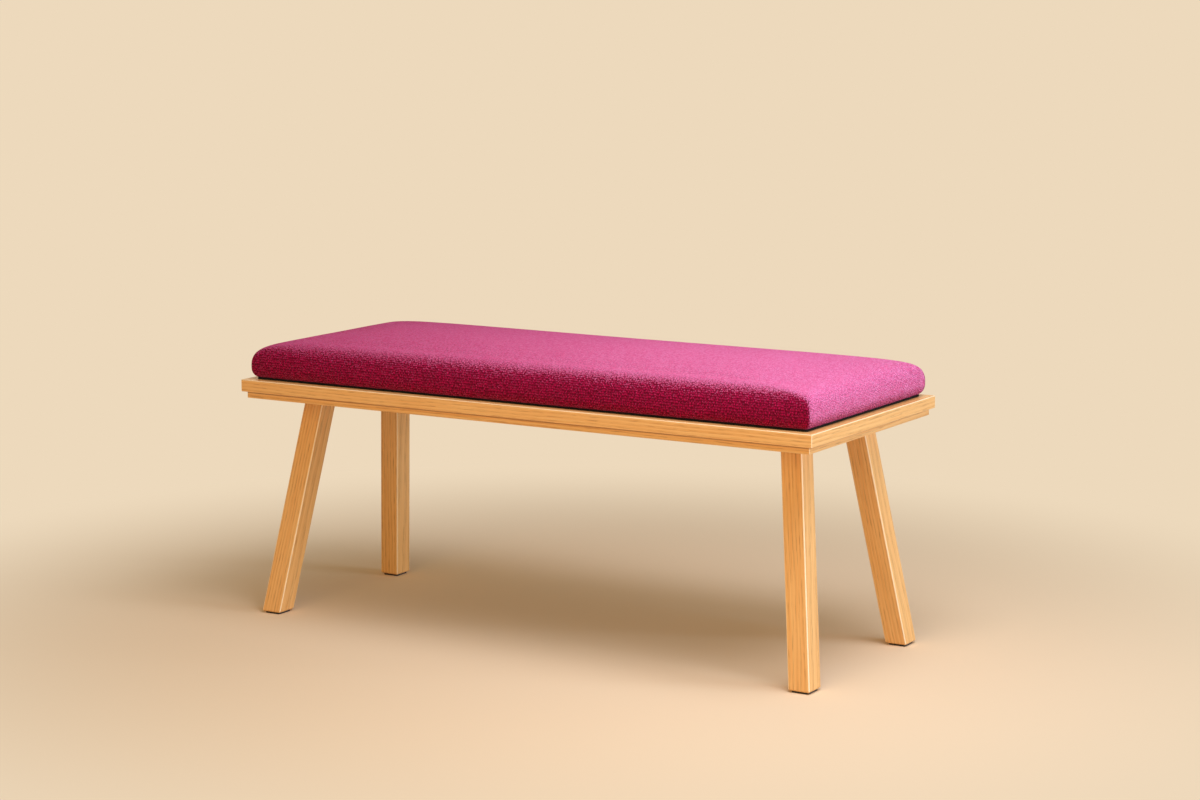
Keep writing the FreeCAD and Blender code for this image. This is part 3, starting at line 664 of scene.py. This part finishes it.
# Wool: a plain weave of heathered crimson yarns with a brushed nap. Its colour holds painted
# shade and a painted sheen: crimson down the front and back, where shade is painted, and pink
# on the top, on the ends and wherever it is seen along the cloth, where sheen is painted.
# The yarns lie 1.5 mm apart, which is too fine to show at this distance, so they are drawn
# 2.6 mm apart, with knots 4.2 mm long.
THREAD = 0.0026
KNOT = THREAD / 0.62
WAVER, WAVER_SCALE = 0.003, 90  # how far the yarns stray, and how often in a metre
LINT_SCALE = 700
KNOT_HIGHLIGHT = 1  # how much pinker the tops of the knots are painted, as a painted highlight
# The pink is painted fainter and darker towards the left end, as painted shade, and paler
# towards the right end, as a painted highlight.
SHADED_END, UNSHADED_FROM, HIGHLIT_END = -0.5, 0.15, 0.5  # along the seat
material, tree = new_material("woven_wool")
place = add(tree, "ShaderNodeUVMap", uv_map="threads")
drift = add(tree, "ShaderNodeTexNoise", {"Vector": place.outputs[0], "Scale": WAVER_SCALE,
                                         "Detail": 2})
wobble = add(tree, "ShaderNodeVectorMath", {0: drift.outputs["Color"], 1: (0.5, 0.5, 0.5)},
             operation="SUBTRACT")
waved = add(tree, "ShaderNodeVectorMath", {0: wobble.outputs[0], 1: (WAVER, WAVER, 0),
                                           2: place.outputs[0]}, operation="MULTIPLY_ADD")
stitched = add(tree, "ShaderNodeMapping", {"Vector": waved.outputs[0],
                                           "Scale": (1 / THREAD, 1 / KNOT, 1)})
knots = add(tree, "ShaderNodeTexVoronoi", {"Vector": stitched.outputs[0], "Scale": 1,
                                           "Randomness": 0.55}, voronoi_dimensions="2D")
rounded = add(tree, "ShaderNodeMapRange", {"Value": knots.outputs["Distance"], "From Min": 0.1,
                                           "From Max": 0.62, "To Min": 1, "To Max": 0},
              interpolation_type="SMOOTHSTEP")
# Each knot is a rounded bump, thick or thin by turns, under a fine lint.
yarn = add(tree, "ShaderNodeSeparateXYZ", {0: knots.outputs["Color"]})
thick = add(tree, "ShaderNodeMath", {0: yarn.outputs[0], 1: 0.6, 2: 0.4}, operation="MULTIPLY_ADD")
height = add(tree, "ShaderNodeMath", {0: rounded.outputs[0], 1: thick.outputs[0]},
             operation="MULTIPLY")
lint = add(tree, "ShaderNodeTexNoise", {"Vector": place.outputs[0], "Scale": LINT_SCALE,
                                        "Detail": 2, "Roughness": 0.6})
relief = add(tree, "ShaderNodeMath", {0: lint.outputs[0], 1: 0.35, 2: height.outputs[0]},
             operation="MULTIPLY_ADD")
bump = add(tree, "ShaderNodeBump", {"Height": relief.outputs[0], "Strength": 1,
                                    "Distance": 0.0013})
heather = add(tree, "ShaderNodeMix", {0: yarn.outputs[1], 6: srgb("#8C0836"), 7: srgb("#C41056")},
              data_type="RGBA")
# Painted shade in the gaps between the knots.
shaded_gaps = add(tree, "ShaderNodeMix", {0: rounded.outputs[0], 6: srgb("#620026"),
                                     7: heather.outputs[2]}, data_type="RGBA")
# Painted sheen and painted shade: the pink share is less where the cloth faces forwards,
# backwards or down, and more where it is seen at a grazing angle.
lie = add(tree, "ShaderNodeTexCoord")
turned = add(tree, "ShaderNodeSeparateXYZ", {0: lie.outputs["Normal"]})
across = add(tree, "ShaderNodeMath", {0: turned.outputs[1], 1: turned.outputs[1], 2: 0.004},
             operation="MULTIPLY_ADD")
front_back_shade = add(tree, "ShaderNodeMath", {0: across.outputs[0], 1: 0.38}, operation="POWER")
grazing_sheen = add(tree, "ShaderNodeLayerWeight", {"Blend": 0.5})
# Painted shade where the cloth faces down.
under = add(tree, "ShaderNodeMath", {0: turned.outputs[2], 1: -1}, operation="MULTIPLY",
            use_clamp=True)
painted_shade_by_facing = add(tree, "ShaderNodeMath", {0: front_back_shade.outputs[0], 1: under.outputs[0]}, operation="ADD")
sheen_less_shade = add(tree, "ShaderNodeMath", {0: grazing_sheen.outputs["Facing"], 1: painted_shade_by_facing.outputs[0]},
          operation="SUBTRACT")
painted_light = add(tree, "ShaderNodeMath", {0: height.outputs[0], 1: KNOT_HIGHLIGHT, 2: sheen_less_shade.outputs[0]},
             operation="MULTIPLY_ADD")
spot = add(tree, "ShaderNodeSeparateXYZ", {0: place.outputs[0]})
# Painted shade: the pink share falls towards the left end.
left_end_shade = add(tree, "ShaderNodeMapRange", {"Value": spot.outputs[0], "From Min": SHADED_END,
                                          "From Max": UNSHADED_FROM, "To Min": 0.58})
painted_sheen_share = add(tree, "ShaderNodeMapRange", {"Value": painted_light.outputs[0], "From Min": -0.14,
                                          "From Max": 1, "To Max": left_end_shade.outputs[0]},
             interpolation_type="SMOOTHSTEP")
# Painted highlight: the pink is paler towards the right end, on top of each yarn's own tone.
right_end_highlight = add(tree, "ShaderNodeMapRange", {"Value": spot.outputs[0], "From Min": SHADED_END,
                                            "From Max": HIGHLIT_END, "To Max": 0.4})
tone_and_highlight = add(tree, "ShaderNodeMath", {0: yarn.outputs[2], 1: 0.6, 2: right_end_highlight.outputs[0]},
              operation="MULTIPLY_ADD")
# The pink of the painted sheen.
sheen_pink = add(tree, "ShaderNodeMix", {0: tone_and_highlight.outputs[0], 6: srgb("#DE4484"),
                                   7: srgb("#F08CC4")}, data_type="RGBA")
painted_sheen_colour = add(tree, "ShaderNodeMix", {0: painted_sheen_share.outputs[0], 6: shaded_gaps.outputs[2],
                                     7: sheen_pink.outputs[2]}, data_type="RGBA")
wool = add(tree, "ShaderNodeBsdfPrincipled", {
    "Base Color": painted_sheen_colour.outputs[2], "Roughness": 0.9, "Specular IOR Level": 0.1,
    "Sheen Weight": 0.45, "Sheen Roughness": 0.3, "Sheen Tint": srgb("#FF86D0"),
    "Normal": bump.outputs[0]})
add(tree, "ShaderNodeOutputMaterial", {"Surface": wool.outputs[0]})
cushion.data.materials.append(material)
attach(cushion, "root")
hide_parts("seat_cover", "seat_foam", "seat_wadding")
